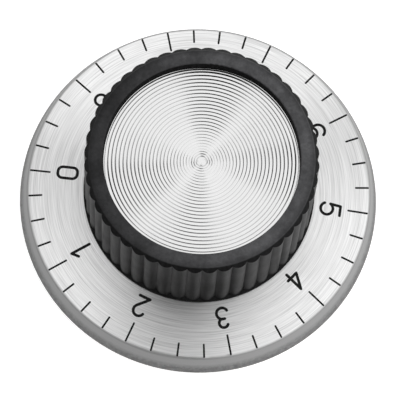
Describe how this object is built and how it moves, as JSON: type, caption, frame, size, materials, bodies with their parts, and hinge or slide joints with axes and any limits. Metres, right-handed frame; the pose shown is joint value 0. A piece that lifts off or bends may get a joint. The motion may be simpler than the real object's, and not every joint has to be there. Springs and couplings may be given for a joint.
{
  "type": "variable tuning capacitor with calibrated knob",
  "caption": "Panel-mounted air-spaced variable capacitor turned by a ribbed black knob with a grooved aluminium inlay on a brushed dial plate numbered 0 to 9.",
  "frame": {"origin": "on the shaft's axis, at the front face of the panel bush's shoulder, where the back of the panel seats", "axes": "+Z along the shaft, out of the panel towards the knob's face; +Y from the shaft towards the stator; +X completes the frame. At rest the dial's 0 mark is 176.3 degrees round from +X, as pictured."},
  "size_m": [0.07, 0.07, 0.07],
  "materials": {
    "knob_plastic": "satin black phenolic moulding",
    "inlay_aluminium": "turned in fine concentric grooves",
    "dial_aluminium": "brushed round the axis, clear anodised",
    "marking_fill": "black paint wiped into the engraving",
    "brass": "machined",
    "nickel_brass": "nickel-plated brass",
    "aluminium": "machined bar",
    "vane_aluminium": "stamped sheet",
    "steel": "ground and nickel-plated",
    "blued_steel": "blackened",
    "bearing_steel": "polished",
    "steatite": "glazed cream ceramic",
    "tinned_copper": "tinned copper sheet",
    "spring_bronze": "phosphor bronze strip"
  },
  "bodies": {
    "frame": {"front_plate": "steatite", "rear_plate": "steatite", "panel_bush": "nickel_brass", "panel_washer": "nickel_brass", "panel_nut": "nickel_brass", "bush_ring_nut": "nickel_brass", "stator_rods": "nickel_brass", "stator_rod_nuts": "nickel_brass", "stator_spacers": "brass", "stator_tags": "tinned_copper", "frame_pillars": "aluminium", "pillar_screws": "nickel_brass", "thrust_ball": "bearing_steel", "rear_bush": "brass", "adjusting_screw": "brass", "lock_nut": "nickel_brass", "rotor_wiper": "spring_bronze", "wiper_screw": "nickel_brass", "wiper_nut": "nickel_brass", "stator_vane_01": "vane_aluminium", "stator_vane_02": "vane_aluminium", "stator_vane_03": "vane_aluminium", "stator_vane_04": "vane_aluminium", "stator_vane_05": "vane_aluminium", "stator_vane_06": "vane_aluminium", "stator_vane_07": "vane_aluminium", "stator_vane_08": "vane_aluminium"},
    "rotor": {"knob_body": "knob_plastic", "knob_inlay": "inlay_aluminium", "knob_insert": "brass", "grub_screws": "blued_steel", "dial_plate": "dial_aluminium", "dial_ticks": "marking_fill", "dial_numerals": "marking_fill", "dial_screws": "steel", "rotor_shaft": "steel", "rotor_spacers": "brass", "rotor_clamp_nut": "nickel_brass", "rotor_vane_01": "vane_aluminium", "rotor_vane_02": "vane_aluminium", "rotor_vane_03": "vane_aluminium", "rotor_vane_04": "vane_aluminium", "rotor_vane_05": "vane_aluminium", "rotor_vane_06": "vane_aluminium", "rotor_vane_07": "vane_aluminium"},
    "ball_ring": {"bearing_balls": "bearing_steel"}
  },
  "joints": [
    {"name": "tuning_spin", "type": "hinge", "parent": "frame", "child": "rotor", "pos_m": [0, 0, 0], "axis": [0, 0, 1], "continuous": true},
    {"name": "ball_orbit", "type": "hinge", "parent": "frame", "child": "ball_ring", "pos_m": [0, 0, -0.0064], "axis": [0, 0, 1], "continuous": true}
  ],
  "couplings": [
    {"joint": "ball_orbit", "follows": "tuning_spin", "ratio": 0.4307}
  ]
}
